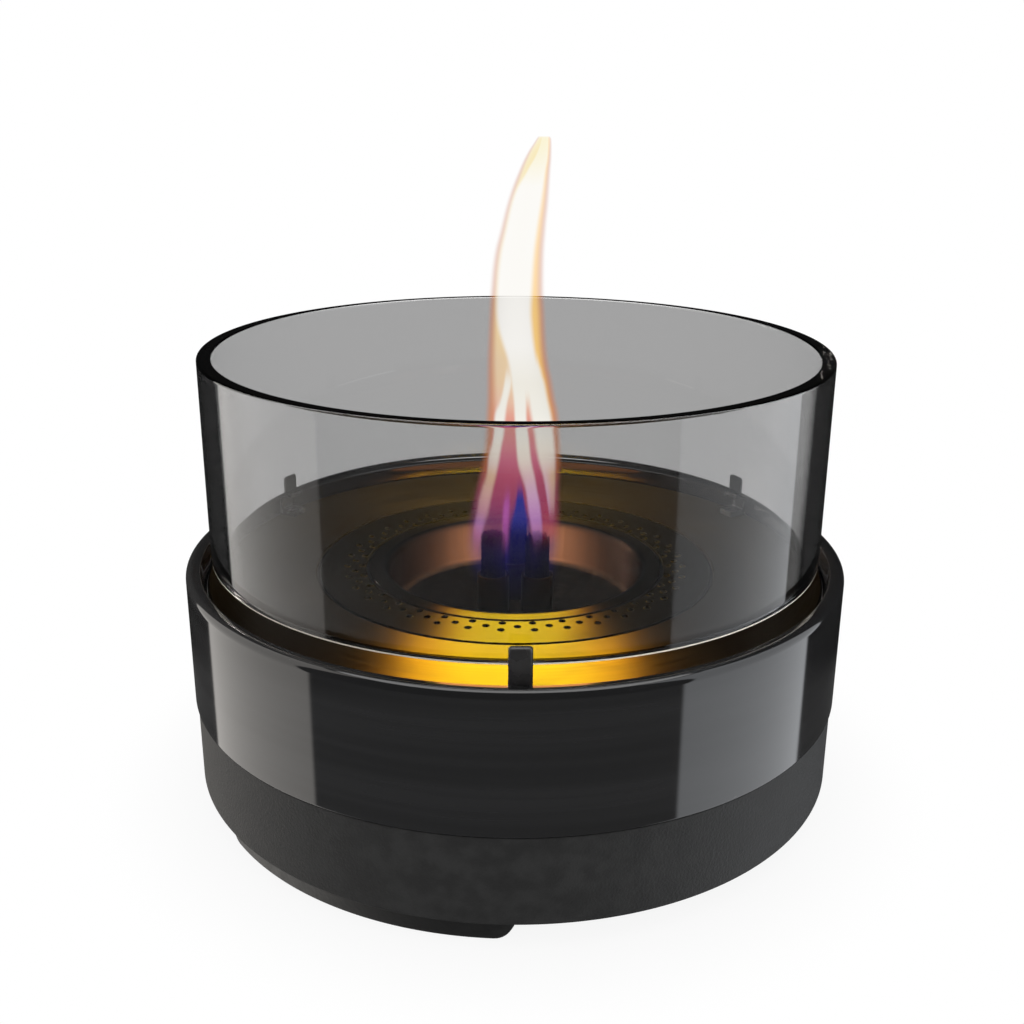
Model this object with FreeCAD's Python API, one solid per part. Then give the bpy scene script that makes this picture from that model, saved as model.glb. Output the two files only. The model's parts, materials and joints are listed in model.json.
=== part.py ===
import FreeCAD, Part
import math
import os

# Tabletop fireplace: a spirit burner with three wicks in a round black housing, under a glass cylinder.
# Millimetres. The origin is where the axis meets the table, +Z is up, and the front is towards -Y.
# An azimuth is counted from the front, and +90 degrees is +X.

# Whole object
BAND_RADIUS = 110.0
RIM_Z = 80.5
GLASS_TOP_Z = 150.0
SHEET = 1.2
AZIMUTHS = (0, 120, 240)
SIDE_NAMES = ("front", "right", "left")
FOOT_NAMES = ("front", "right", "rear")

# Base and feet
BASE_RADIUS = 109.3
BASE_WALL = 2.7
BASE_Z = 7.6
SEAM_Z = 36.5
REGISTER_HEIGHT = 6.0
FOOT_PLATE = 1.4
FOOT_PLATE_INNER = 58.0
FOOT_INNER = 92.0
FOOT_OUTER = 106.0
FOOT_Z = 0.3
FOOT_SPAN = 60.0
FOOT_END_ROUND = 4.0
PAD_INSET = 1.5
PAD_HEIGHT = 1.2
PAD_SPAN = 50.0

# Gloss band with its rolled lip
LIP_OUTER_ROUND = 2.5
LIP_FLAT_OUTER = 107.5
LIP_INNER = 105.2
SKIRT_FOOT_RADIUS = 104.2
LEDGE_INNER = 96.6

# Tray, air ring and their grooves
TRAY_Z = 75.2
TRAY_OUTER = 103.4
TRAY_INNER = 67.8
TRAY_LEDGE_INNER = 64.5
AIR_RING_OUTER = 66.6
AIR_RING_INNER = 51.1
AIR_HOLE_RADIUS = 1.15
AIR_HOLE_ROWS = (52.5, 55.0, 57.5)
AIR_HOLES_PER_ROW = 36

# Liner
LINER_Z = 19.0
LINER_SHEET = 1.0
LINER_WALL_FOOT = 95.0
LINER_WALL_TOP = 96.0
LINER_FLANGE = 103.6

# Fuel tank
TANK_RADIUS = 62.0
TANK_SHEET = 0.8
TANK_TOP_Z = 53.0
NECK_INNER = 22.1
NECK_OUTER = 24.5
NECK_Z = (48.5, 56.4)
NECK_FLANGE = 28.0
POST_RADIUS = 2.0
POST_PLACE = 60.0

# Wick dish, its skirt and the gasket
DISH_OUTER = 49.9
DISH_THROAT = 42.8
DISH_FLOOR_EDGE = 42.2
DISH_FLOOR_Z = 59.2
SKIRT_INNER = 20.0
SKIRT_OUTER = 21.8
GASKET_INNER = 22.6
GASKET_OUTER = 26.4

# Wicks and their tubes
WICK_RADIUS = 4.2
WICK_FOOT_Z = 28.0
WICK_PLACE = 8.66
WICK_NAMES = ("left", "right", "rear")
WICK_AZIMUTHS = (-60, 60, 180)
WICK_TOPS = (87.6, 86.4, 86.9)
TUBE_OUTER = 5.5
TUBE_INNER = 4.5
TUBE_Z = (50.0, 72.3)

# Glass and the brackets that carry it
GLASS_OUTER = 101.5
GLASS_WALL = 4.5
GLASS_FOOT_Z = 84.1
GLASS_EDGE_ROUND = 0.8
BRACKET_WIDTH = 6.6
UPRIGHT_INNER = 101.8
UPRIGHT_OUTER = 103.6
UPRIGHT_TOP_Z = 90.2
SHELF_INNER = 97.2
GLASS_PAD = 0.6
BRACKET_FOOT = 2.0
BRACKET_FOOT_INNER = 95.4

# Fixings
BASE_SCREW_PLACE = 75.0
BASE_SCREW_AZIMUTHS = (30, 150, 270)
BASE_SCREW_RADIUS = 2.0
BASE_SCREW_HEAD = (3.8, 2.2)
BRACKET_SCREW_PLACE = 99.5
BRACKET_SCREW_RADIUS = 1.5
BRACKET_SCREW_HEAD = (2.7, 1.8)
SPACER_RADIUS = 5.0
NUT_RADIUS = 4.0
NUT_HEIGHT = 3.2
CLEARANCE = 0.1

TRAY_UNDER_Z = TRAY_Z - SHEET
FLANGE_UNDER_Z = TRAY_UNDER_Z - SHEET
LEDGE_UNDER_Z = FLANGE_UNDER_Z - SHEET
LINER_FLOOR_Z = LINER_Z + LINER_SHEET
BASE_FLOOR_Z = BASE_Z + FOOT_PLATE
BASE_INSIDE_Z = BASE_FLOOR_Z + 2.0
LID_TOP_Z = TANK_TOP_Z + TANK_SHEET
DISH_UNDER_Z = DISH_FLOOR_Z - SHEET

AXIS = FreeCAD.Vector(0, 0, 1)
CENTRE = FreeCAD.Vector(0, 0, 0)


def rounded_corner(before, corner, after, radius):
    """Start, middle and end of the arc that rounds one corner of an outline."""
    back = (before - corner).normalize()
    ahead = (after - corner).normalize()
    half_angle = back.getAngle(ahead) / 2
    run = radius / math.tan(half_angle)
    middle = (back + ahead).normalize()
    centre = corner + middle * (radius / math.sin(half_angle))
    return corner + back * run, centre - middle * radius, corner + ahead * run


def outline(corners):
    """Closed wire in the XZ plane through (radius, z) corners; a third number rounds that corner."""
    points = [FreeCAD.Vector(c[0], 0, c[1]) for c in corners]
    edges = []
    first = None
    last = None
    for i, corner in enumerate(corners):
        start = end = points[i]
        arc = None
        if len(corner) == 3:
            after = points[(i + 1) % len(points)]
            start, middle, end = rounded_corner(points[i - 1], points[i], after, corner[2])
            arc = Part.Arc(start, middle, end).toShape()
        if last is not None:
            edges.append(Part.makeLine(last, start))
        if first is None:
            first = start
        if arc is not None:
            edges.append(arc)
        last = end
    edges.append(Part.makeLine(last, first))
    return Part.Wire(edges)


def turned(corners, angle=360):
    """Solid of revolution about the object's axis."""
    return Part.Face(outline(corners)).revolve(CENTRE, AXIS, angle)


def at_azimuth(shape, azimuth):
    """A shape made along +X, turned about the axis to an azimuth."""
    placed = shape.copy()
    placed.rotate(CENTRE, AXIS, azimuth - 90)
    return placed


def place(radius, z, azimuth):
    """The point at a radius, height and azimuth."""
    angle = math.radians(azimuth)
    return FreeCAD.Vector(radius * math.sin(angle), -radius * math.cos(angle), z)


def post(radius, bottom, top, point):
    """Upright cylinder between two heights, at a point's x and y."""
    return Part.makeCylinder(radius, top - bottom, FreeCAD.Vector(point.x, point.y, bottom), AXIS)


def tube(outer, inner, bottom, top, point):
    """Upright tube between two heights."""
    return post(outer, bottom, top, point).cut(post(inner, bottom, top, point))


def holes(radius, bottom, top, points):
    """Cylinders that cut one hole at each point."""
    return Part.makeCompound([post(radius, bottom, top, p) for p in points])


def screw(point, head, shank, head_z, tip_z):
    """Pan-head screw that points up, with a cross recess in its head."""
    head_radius, head_height = head
    body = turned([
        (0, head_z),
        (head_radius, head_z, head_height * 0.45),
        (head_radius, head_z + head_height),
        (shank, head_z + head_height),
        (shank, tip_z, shank * 0.3),
        (0, tip_z),
    ])
    length, width, depth = head_radius * 1.2, head_radius * 0.28, head_height * 0.5
    for along, across in ((length, width), (width, length)):
        corner = FreeCAD.Vector(-along / 2, -across / 2, head_z)
        body = body.cut(Part.makeBox(along, across, depth, corner))
    body.translate(FreeCAD.Vector(point.x, point.y, 0))
    return body


def hexagon_nut(point, bottom):
    """Plain hexagon nut on the base screw."""
    corners = [place(NUT_RADIUS, bottom, 60 * i) + FreeCAD.Vector(point.x, point.y, 0) for i in range(7)]
    prism = Part.Face(Part.makePolygon(corners)).extrude(AXIS * NUT_HEIGHT)
    return prism.cut(post(BASE_SCREW_RADIUS, bottom, bottom + NUT_HEIGHT, point))


def base_screw_points():
    return [place(BASE_SCREW_PLACE, 0, a) for a in BASE_SCREW_AZIMUTHS]


def bracket_screw_points():
    return [place(BRACKET_SCREW_PLACE, 0, a) for a in AZIMUTHS]


def base_shell():
    """Matt lower housing: a floor, a wall and a register that enters the band."""
    inner = BASE_RADIUS - BASE_WALL
    register = BASE_RADIUS - 0.7
    shell = turned([
        (0, BASE_FLOOR_Z),
        (FOOT_OUTER + 0.5, BASE_FLOOR_Z),
        (FOOT_OUTER + 0.5, BASE_Z),
        (BASE_RADIUS, BASE_Z, 0.4),
        (BASE_RADIUS, SEAM_Z, 0.3),
        (register, SEAM_Z),
        (register, SEAM_Z + REGISTER_HEIGHT, 0.5),
        (inner, SEAM_Z + REGISTER_HEIGHT, 0.5),
        (inner, BASE_INSIDE_Z, 1.5),
        (0, BASE_INSIDE_Z),
    ])
    bores = holes(BASE_SCREW_RADIUS + CLEARANCE, BASE_FLOOR_Z - 1, BASE_INSIDE_Z + 1, base_screw_points())
    return shell.cut(bores)


def curved_foot():
    """One foot: a 60 degree arc whose ends are rounded towards the table."""
    section = [(FOOT_INNER, FOOT_Z), (FOOT_OUTER, FOOT_Z), (FOOT_OUTER, BASE_Z + 0.5), (FOOT_INNER, BASE_Z + 0.5)]
    foot = turned(section, FOOT_SPAN)
    ends = [e for e in foot.Edges if e.BoundBox.ZMax < FOOT_Z + 0.01 and e.Length < FOOT_OUTER - FOOT_INNER + 0.1]
    foot = foot.makeFillet(FOOT_END_ROUND, ends)
    rims = [e for e in foot.Edges if e.BoundBox.ZMax < FOOT_Z + 0.01 and e.Length > 2 * (FOOT_OUTER - FOOT_INNER)]
    return foot.makeFillet(0.5, rims)


def foot_pad_arc():
    """Rubber strip let into the underside of one foot."""
    section = [
        (FOOT_INNER + PAD_INSET, 0, 0.2),
        (FOOT_OUTER - PAD_INSET, 0, 0.2),
        (FOOT_OUTER - PAD_INSET, PAD_HEIGHT),
        (FOOT_INNER + PAD_INSET, PAD_HEIGHT),
    ]
    pad = turned(section, PAD_SPAN)
    pad.rotate(CENTRE, AXIS, (FOOT_SPAN - PAD_SPAN) / 2)
    return pad


def on_each_foot(shape):
    """Copies of a shape made for the arc from +X, one for each foot."""
    return [at_azimuth(shape, a - FOOT_SPAN) for a in AZIMUTHS]


def foot_ring():
    """Ring under the base with the three curved feet moulded on."""
    ring = turned([
        (FOOT_PLATE_INNER, BASE_Z, 0.4),
        (FOOT_OUTER + 0.2, BASE_Z, 0.4),
        (FOOT_OUTER + 0.2, BASE_FLOOR_Z),
        (FOOT_PLATE_INNER, BASE_FLOOR_Z),
    ])
    ring = ring.fuse(on_each_foot(curved_foot())).removeSplitter()
    recess = foot_pad_arc()
    ring = ring.cut(on_each_foot(recess))
    return ring.cut(holes(BASE_SCREW_RADIUS + CLEARANCE, BASE_Z - 1, BASE_FLOOR_Z + 1, base_screw_points()))


def band_shell():
    """Gloss band spun from sheet: outer wall, rolled lip, inner skirt and the ledge that carries the liner."""
    under_lip = RIM_Z - SHEET
    shell = turned([
        (BAND_RADIUS, SEAM_Z, 0.4),
        (BAND_RADIUS, RIM_Z, LIP_OUTER_ROUND),
        (LIP_INNER, RIM_Z, 0.8),
        (SKIRT_FOOT_RADIUS, FLANGE_UNDER_Z),
        (LEDGE_INNER, FLANGE_UNDER_Z),
        (LEDGE_INNER, LEDGE_UNDER_Z),
        (SKIRT_FOOT_RADIUS + SHEET, LEDGE_UNDER_Z),
        (LIP_INNER + SHEET, under_lip, 0.3),
        (BAND_RADIUS - SHEET, under_lip, LIP_OUTER_ROUND - SHEET),
        (BAND_RADIUS - SHEET, SEAM_Z),
    ])
    return shell.cut(holes(BRACKET_SCREW_RADIUS + CLEARANCE, LEDGE_UNDER_Z - 1, RIM_Z, bracket_screw_points()))


def inner_liner():
    """Sheet-metal bowl that keeps the tank away from the outer shells."""
    bowl = turned([
        (0, LINER_Z),
        (LINER_WALL_FOOT, LINER_Z, 5.0),
        (LINER_WALL_TOP, FLANGE_UNDER_Z),
        (LINER_FLANGE, FLANGE_UNDER_Z),
        (LINER_FLANGE, TRAY_UNDER_Z),
        (LINER_WALL_TOP - LINER_SHEET, TRAY_UNDER_Z, 0.6),
        (LINER_WALL_FOOT - LINER_SHEET, LINER_FLOOR_Z, 4.0),
        (0, LINER_FLOOR_Z),
    ])
    bowl = bowl.cut(holes(BASE_SCREW_RADIUS + CLEARANCE, LINER_Z - 1, LINER_FLOOR_Z + 1, base_screw_points()))
    return bowl.cut(holes(BRACKET_SCREW_RADIUS + CLEARANCE, LEDGE_UNDER_Z, TRAY_Z, bracket_screw_points()))


def tray_plate():
    """Dark tray between the lip and the air ring, with a step that the air ring rests on."""
    plate = turned([
        (TRAY_INNER, TRAY_Z, 0.3),
        (TRAY_OUTER, TRAY_Z, 0.8),
        (TRAY_OUTER, TRAY_UNDER_Z),
        (TRAY_INNER + SHEET, TRAY_UNDER_Z),
        (TRAY_INNER + SHEET, FLANGE_UNDER_Z),
        (TRAY_LEDGE_INNER, FLANGE_UNDER_Z),
        (TRAY_LEDGE_INNER, TRAY_UNDER_Z),
        (TRAY_INNER, TRAY_UNDER_Z),
    ])
    return plate.cut(holes(BRACKET_SCREW_RADIUS + CLEARANCE, LEDGE_UNDER_Z, TRAY_Z + 1, bracket_screw_points()))


def air_ring():
    """Perforated ring with three staggered rows of air holes."""
    ring = turned([
        (AIR_RING_INNER, TRAY_Z, 0.25),
        (AIR_RING_OUTER, TRAY_Z, 0.25),
        (AIR_RING_OUTER, TRAY_UNDER_Z),
        (AIR_RING_INNER, TRAY_UNDER_Z),
    ])
    pitch = 360.0 / AIR_HOLES_PER_ROW
    points = []
    for row, radius in enumerate(AIR_HOLE_ROWS):
        start = pitch / 2 * ((row + 1) % 2)
        points += [place(radius, 0, start + pitch * i) for i in range(AIR_HOLES_PER_ROW)]
    return ring.cut(holes(AIR_HOLE_RADIUS, TRAY_UNDER_Z - 1, TRAY_Z + 1, points))


def ring_posts():
    """Posts that carry the air ring on the tank's lid."""
    return [post(POST_RADIUS, LID_TOP_Z, TRAY_UNDER_Z, place(POST_PLACE, 0, a + 60)) for a in AZIMUTHS]


def tank_shell():
    """Drawn cup that holds the fuel."""
    inside = TANK_RADIUS - TANK_SHEET
    return turned([
        (0, LINER_FLOOR_Z),
        (TANK_RADIUS, LINER_FLOOR_Z, 4.0),
        (TANK_RADIUS, TANK_TOP_Z),
        (inside, TANK_TOP_Z),
        (inside, LINER_FLOOR_Z + TANK_SHEET, 4.0 - TANK_SHEET),
        (0, LINER_FLOOR_Z + TANK_SHEET),
    ])


def tank_lid():
    """Lid with its edge turned down over the tank's wall."""
    seam = TANK_RADIUS + TANK_SHEET
    return turned([
        (NECK_OUTER, TANK_TOP_Z),
        (TANK_RADIUS, TANK_TOP_Z),
        (TANK_RADIUS, TANK_TOP_Z - 3.5),
        (seam, TANK_TOP_Z - 3.5),
        (seam, LID_TOP_Z, 0.6),
        (NECK_OUTER, LID_TOP_Z),
    ])


def tank_neck():
    """Collar through the lid that the dish screws into."""
    low, high = NECK_Z
    return turned([
        (NECK_INNER, low),
        (NECK_OUTER, low),
        (NECK_OUTER, LID_TOP_Z),
        (NECK_FLANGE, LID_TOP_Z),
        (NECK_FLANGE, LID_TOP_Z + SHEET, 0.4),
        (NECK_OUTER, LID_TOP_Z + SHEET),
        (NECK_OUTER, high),
        (NECK_INNER, high),
    ])


def wick_points():
    return [place(WICK_PLACE, 0, a) for a in WICK_AZIMUTHS]


def wick_dish():
    """Sunk middle: flange, rounded throat, steep wall and a flat floor with three tube holes."""
    dish = turned([
        (DISH_OUTER, TRAY_Z, 0.25),
        (DISH_THROAT, TRAY_Z, 2.6),
        (DISH_FLOOR_EDGE, DISH_FLOOR_Z, 2.4),
        (0, DISH_FLOOR_Z),
        (0, DISH_UNDER_Z),
        (DISH_FLOOR_EDGE + SHEET, DISH_UNDER_Z, 3.6),
        (DISH_THROAT + SHEET, TRAY_UNDER_Z, 1.4),
        (DISH_OUTER, TRAY_UNDER_Z),
    ])
    return dish.cut(holes(TUBE_OUTER, DISH_UNDER_Z - 1, DISH_FLOOR_Z + 1, wick_points()))


def cap_skirt():
    """Threaded skirt under the dish, drawn at its thread's outer size."""
    return tube(SKIRT_OUTER, SKIRT_INNER, NECK_Z[0], DISH_UNDER_Z, CENTRE)


def neck_gasket():
    """Flat ring that seals the neck against the dish."""
    return tube(GASKET_OUTER, GASKET_INNER, NECK_Z[1], DISH_UNDER_Z, CENTRE)


def wick(point, top):
    """Glass-fibre wick, with its edge rounded where it burns."""
    rope = post(WICK_RADIUS, WICK_FOOT_Z, top, point)
    burning_edge = [e for e in rope.Edges if e.BoundBox.ZMin > top - 0.01]
    return rope.makeFillet(0.8, burning_edge)


def glass_cylinder():
    """Glass, open at both ends, with polished edges."""
    inner = GLASS_OUTER - GLASS_WALL
    return turned([
        (inner, GLASS_FOOT_Z, GLASS_EDGE_ROUND),
        (GLASS_OUTER, GLASS_FOOT_Z, GLASS_EDGE_ROUND),
        (GLASS_OUTER, GLASS_TOP_Z, GLASS_EDGE_ROUND),
        (inner, GLASS_TOP_Z, GLASS_EDGE_ROUND),
    ])


def bracket_slab(corners):
    """Slab of the bracket's width from an outline along +X."""
    slab = Part.Face(outline(corners)).extrude(FreeCAD.Vector(0, BRACKET_WIDTH, 0))
    slab.translate(FreeCAD.Vector(0, -BRACKET_WIDTH / 2, 0))
    return slab


def glass_bracket():
    """Bracket: foot on the tray, upright outside the glass, and the shelf that the glass stands on."""
    shelf_top = GLASS_FOOT_Z - GLASS_PAD
    body = bracket_slab([
        (BRACKET_FOOT_INNER, TRAY_Z),
        (UPRIGHT_OUTER, TRAY_Z),
        (UPRIGHT_OUTER, UPRIGHT_TOP_Z, 1.3),
        (UPRIGHT_INNER, UPRIGHT_TOP_Z, 0.3),
        (UPRIGHT_INNER, shelf_top),
        (SHELF_INNER, shelf_top, 0.3),
        (SHELF_INNER, shelf_top - SHEET, 0.3),
        (UPRIGHT_INNER, shelf_top - SHEET, 0.6),
        (UPRIGHT_INNER, TRAY_Z + BRACKET_FOOT, 0.6),
        (BRACKET_FOOT_INNER, TRAY_Z + BRACKET_FOOT, 0.5),
    ])
    sides = [e for e in body.Edges if e.BoundBox.XMin > UPRIGHT_OUTER - 0.01 and e.BoundBox.ZLength > 10]
    body = body.makeFillet(0.5, sides)
    bore = FreeCAD.Vector(BRACKET_SCREW_PLACE, 0, 0)
    return body.cut(post(BRACKET_SCREW_RADIUS, TRAY_Z - 1, TRAY_Z + BRACKET_FOOT + 1, bore))


def glass_pad():
    """Soft pad between the shelf and the glass."""
    width = BRACKET_WIDTH - 0.6
    depth = UPRIGHT_INNER - SHELF_INNER - 0.6
    corner = FreeCAD.Vector(SHELF_INNER + 0.4, -width / 2, GLASS_FOOT_Z - GLASS_PAD)
    return Part.makeBox(depth, width, GLASS_PAD, corner)


def save(name, shapes):
    """Write one node; a list becomes a group of separate solids."""
    shape = Part.makeCompound(shapes) if isinstance(shapes, list) else shapes
    for solid in shape.Solids:
        assert solid.isValid(), name
    shape.exportStep("parts/" + name + ".step")
    print(name, len(shape.Solids), "solids", round(shape.Volume), "mm3")


def build():
    os.makedirs("parts", exist_ok=True)
    save("foot_ring", foot_ring())
    save("base_shell", base_shell())
    save("band_shell", band_shell())
    save("inner_liner", inner_liner())
    save("tray_plate", tray_plate())
    for side, pad in zip(FOOT_NAMES, on_each_foot(foot_pad_arc())):
        save("foot_pad_" + side, pad)
    for side, azimuth in zip(SIDE_NAMES, AZIMUTHS):
        save("glass_bracket_" + side, at_azimuth(glass_bracket(), azimuth))
        save("glass_pad_" + side, at_azimuth(glass_pad(), azimuth))
    tip = TRAY_Z + BRACKET_FOOT - 0.2
    head_z = LEDGE_UNDER_Z - BRACKET_SCREW_HEAD[1]
    save("bracket_screws", [screw(p, BRACKET_SCREW_HEAD, BRACKET_SCREW_RADIUS, head_z, tip)
                            for p in bracket_screw_points()])
    tip = LINER_FLOOR_Z + NUT_HEIGHT + 0.6
    head_z = BASE_Z - BASE_SCREW_HEAD[1]
    save("base_screws", [screw(p, BASE_SCREW_HEAD, BASE_SCREW_RADIUS, head_z, tip) for p in base_screw_points()])
    spacer_bore = BASE_SCREW_RADIUS + CLEARANCE
    save("liner_spacers", [tube(SPACER_RADIUS, spacer_bore, BASE_INSIDE_Z, LINER_Z, p)
                           for p in base_screw_points()])
    save("liner_nuts", [hexagon_nut(p, LINER_FLOOR_Z) for p in base_screw_points()])
    save("tank_shell", tank_shell())
    save("tank_lid", tank_lid())
    save("tank_neck", tank_neck())
    save("air_ring", air_ring())
    save("ring_posts", ring_posts())
    save("neck_gasket", neck_gasket())
    save("wick_dish", wick_dish())
    save("cap_skirt", cap_skirt())
    for side, point, top in zip(WICK_NAMES, wick_points(), WICK_TOPS):
        save("wick_tube_" + side, tube(TUBE_OUTER, TUBE_INNER, TUBE_Z[0], TUBE_Z[1], point))
        save("wick_" + side, wick(point, top))
    save("glass_cylinder", glass_cylinder())


build()
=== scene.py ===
import json
import math
import random

import bmesh
import bpy
from mathutils import Matrix, Vector

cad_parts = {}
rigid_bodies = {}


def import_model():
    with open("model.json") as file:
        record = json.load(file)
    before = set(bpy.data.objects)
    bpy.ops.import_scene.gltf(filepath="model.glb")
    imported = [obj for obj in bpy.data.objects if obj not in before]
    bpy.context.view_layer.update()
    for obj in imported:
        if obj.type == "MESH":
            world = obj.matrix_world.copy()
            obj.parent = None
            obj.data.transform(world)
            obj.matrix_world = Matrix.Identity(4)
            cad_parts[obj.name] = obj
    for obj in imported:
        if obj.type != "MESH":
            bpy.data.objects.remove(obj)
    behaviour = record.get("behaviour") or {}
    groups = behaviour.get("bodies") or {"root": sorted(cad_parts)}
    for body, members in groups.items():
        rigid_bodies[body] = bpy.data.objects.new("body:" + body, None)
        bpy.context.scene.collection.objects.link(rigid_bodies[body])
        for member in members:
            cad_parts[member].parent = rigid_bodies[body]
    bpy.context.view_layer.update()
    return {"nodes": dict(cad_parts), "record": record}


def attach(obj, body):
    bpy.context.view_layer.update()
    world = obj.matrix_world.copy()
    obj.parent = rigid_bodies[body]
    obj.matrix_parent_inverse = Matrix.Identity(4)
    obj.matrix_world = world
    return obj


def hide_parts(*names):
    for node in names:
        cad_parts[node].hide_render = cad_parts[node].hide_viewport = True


for leftover in list(bpy.data.objects):
    bpy.data.objects.remove(leftover)
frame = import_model()

# The part's own sizes, in millimetres, as in its source.
MM = 0.001
BAND_RADIUS = 110.0
RIM_Z = 80.5
GLASS_TOP_Z = 150.0
GLASS_FOOT_Z = 84.1
GLASS_OUTER = 101.5
GLASS_BORE = 97.0
BASE_RADIUS = 109.3
BASE_Z = 7.6
BASE_FLOOR_Z = 9.0
SEAM_Z = 36.5
TRAY_Z = 75.2
SHEET = 1.2
TRAY_UNDER_Z = TRAY_Z - SHEET
TRAY_BORE = 67.8
DISH_FLOOR_Z = 59.2
DISH_UNDER_Z = 58.0
SHELF_Z = 83.5
FOOT_RADIUS = 106.0
FOOT_LOW_Z = 0.3
TUBE_FOOT_Z = 50.0
TUBE_TOP_Z = 72.3
WICK_RADIUS = 4.2
WICK_FOOT_Z = 28.0
WICK_PLACE = 8.66
# Azimuth and top of each wick.
WICKS = {"left": (-60, 87.6), "right": (60, 86.4), "rear": (180, 86.9)}


def place(radius, z, azimuth):
    """The point at a radius, height and azimuth from the front, in metres."""
    angle = math.radians(azimuth)
    return Vector((radius * math.sin(angle) * MM, -radius * math.cos(angle) * MM, z * MM))


def grey(value):
    return (value, value, value, 1)


def add(tree, kind, **settings):
    """A node with its settings."""
    node = tree.nodes.new(kind)
    for name, value in settings.items():
        setattr(node, name, value)
    return node


def feed(tree, node, **values):
    """Sets or links sockets by name, with _ for a space; inN is the Nth socket."""
    for name, value in values.items():
        key = int(name[2:]) if name[:2] == "in" and name[2:].isdigit() else name.replace("_", " ")
        socket = node.inputs[key]
        if isinstance(value, bpy.types.NodeSocket):
            tree.links.new(value, socket)
        else:
            socket.default_value = value
    return node


def put(tree, kind, **values):
    """The first output of a new node whose sockets are fed."""
    return feed(tree, add(tree, kind), **values).outputs[0]


def calc(tree, operation, a, b=0.0, c=0.0):
    return feed(tree, add(tree, "ShaderNodeMath", operation=operation), in0=a, in1=b, in2=c).outputs[0]


def times(tree, *factors):
    product = factors[0]
    for factor in factors[1:]:
        product = calc(tree, "MULTIPLY", product, factor)
    return product


def far_side(tree, a, b):
    """Distance from zero of a point with two coordinates."""
    return calc(tree, "SQRT", calc(tree, "ADD", times(tree, a, a), times(tree, b, b)))


def ramp(tree, value, low, high, out_low=0.0, out_high=1.0):
    """Value carried from one range to another and held at its ends."""
    node = add(tree, "ShaderNodeMapRange", interpolation_type="SMOOTHSTEP")
    feed(tree, node, Value=value, From_Min=low, From_Max=high, To_Min=out_low, To_Max=out_high)
    return node.outputs["Result"]


def mix(tree, factor, first, second, blend="MIX"):
    """A mixed colour."""
    node = add(tree, "ShaderNodeMix", data_type="RGBA", blend_type=blend)
    return feed(tree, node, in0=factor, in6=first, in7=second).outputs[2]


def xyz(tree, **parts):
    return put(tree, "ShaderNodeCombineXYZ", **parts)


def split(tree, vector):
    return feed(tree, add(tree, "ShaderNodeSeparateXYZ"), Vector=vector).outputs


def noise(tree, where, scale=1.0, detail=3.0, distortion=0.0):
    return put(tree, "ShaderNodeTexNoise", Vector=where, Scale=scale, Detail=detail, Distortion=distortion)


def stretched(tree, where, scale, rotation=(0, 0, 0)):
    return put(tree, "ShaderNodeMapping", Vector=where, Scale=scale, Rotation=rotation)


def object_place(tree):
    """Object coordinates, whole and split."""
    where = add(tree, "ShaderNodeTexCoord").outputs["Object"]
    parts = split(tree, where)
    return where, parts["X"], parts["Y"], parts["Z"]


def effect_group(name, inputs, outputs):
    """Shader group with named float inputs and outputs."""
    tree = bpy.data.node_groups.new(name, "ShaderNodeTree")
    for label, value in inputs:
        socket = tree.interface.new_socket(label, in_out="INPUT", socket_type="NodeSocketFloat")
        socket.default_value = value
    for label in outputs:
        tree.interface.new_socket(label, in_out="OUTPUT", socket_type="NodeSocketFloat")
    return tree, add(tree, "NodeGroupInput").outputs, add(tree, "NodeGroupOutput")


def turning_marks_group():
    """Fine rings round the axis, as a lathe or polishing wheel leaves them."""
    tree, given, result = effect_group("turning_marks", [("Pitch", 0.0004), ("Wander", 1.5)],
                                       ["Height", "Mask"])
    where, x, y, z = object_place(tree)
    radius = far_side(tree, x, y)
    along = calc(tree, "DIVIDE", calc(tree, "ADD", radius, z), given["Pitch"])
    round_x, round_y = (times(tree, calc(tree, "DIVIDE", part, radius), given["Wander"]) for part in (x, y))
    lines = noise(tree, xyz(tree, X=round_x, Y=round_y, Z=along))
    feed(tree, result, Height=lines, Mask=ramp(tree, lines, 0.35, 0.7))
    return tree


def powder_group():
    """Fine baked-on powder texture."""
    tree, given, result = effect_group("powder_texture", [("Grain", 0.0006), ("Patch", 0.006)],
                                       ["Height", "Mask"])
    where, x, y, z = object_place(tree)
    grain = noise(tree, where, calc(tree, "DIVIDE", 1.0, given["Grain"]), 2.0)
    cells = put(tree, "ShaderNodeTexVoronoi", Vector=where, Scale=calc(tree, "DIVIDE", 0.6, given["Grain"]))
    patch = noise(tree, where, calc(tree, "DIVIDE", 1.0, given["Patch"]), 4.0)
    feed(tree, result, Height=calc(tree, "ADD", grain, times(tree, cells, 0.6)),
         Mask=ramp(tree, patch, 0.35, 0.7))
    return tree


def handling_group():
    """Faint smears and hairline scratches of a polished surface."""
    tree, given, result = effect_group("handling", [("Smear Size", 0.05), ("Scratch", 0.5)], ["Mask"])
    where, x, y, z = object_place(tree)
    smear = noise(tree, where, calc(tree, "DIVIDE", 1.0, given["Smear Size"]), 3.0, 0.8)
    scratch = noise(tree, stretched(tree, where, (900.0, 25.0, 40.0), (0.3, 0.5, 0.9)), 1.0, 2.0)
    hairs = times(tree, ramp(tree, scratch, 0.68, 0.75), given["Scratch"])
    feed(tree, result, Mask=calc(tree, "MAXIMUM", ramp(tree, smear, 0.45, 0.75), hairs))
    return tree


TURNING_MARKS = turning_marks_group()
POWDER = powder_group()
HANDLING = handling_group()


def effect(tree, group, **values):
    return feed(tree, add(tree, "ShaderNodeGroup", node_tree=group), **values).outputs


def bare_material(name):
    """New material without nodes, and its tree."""
    material = bpy.data.materials.new(name)
    material.use_nodes = True
    material.node_tree.nodes.clear()
    return material, material.node_tree


def show(tree, **shaders):
    """The node that takes a material's surface or volume."""
    return feed(tree, add(tree, "ShaderNodeOutputMaterial"), **shaders)


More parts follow.
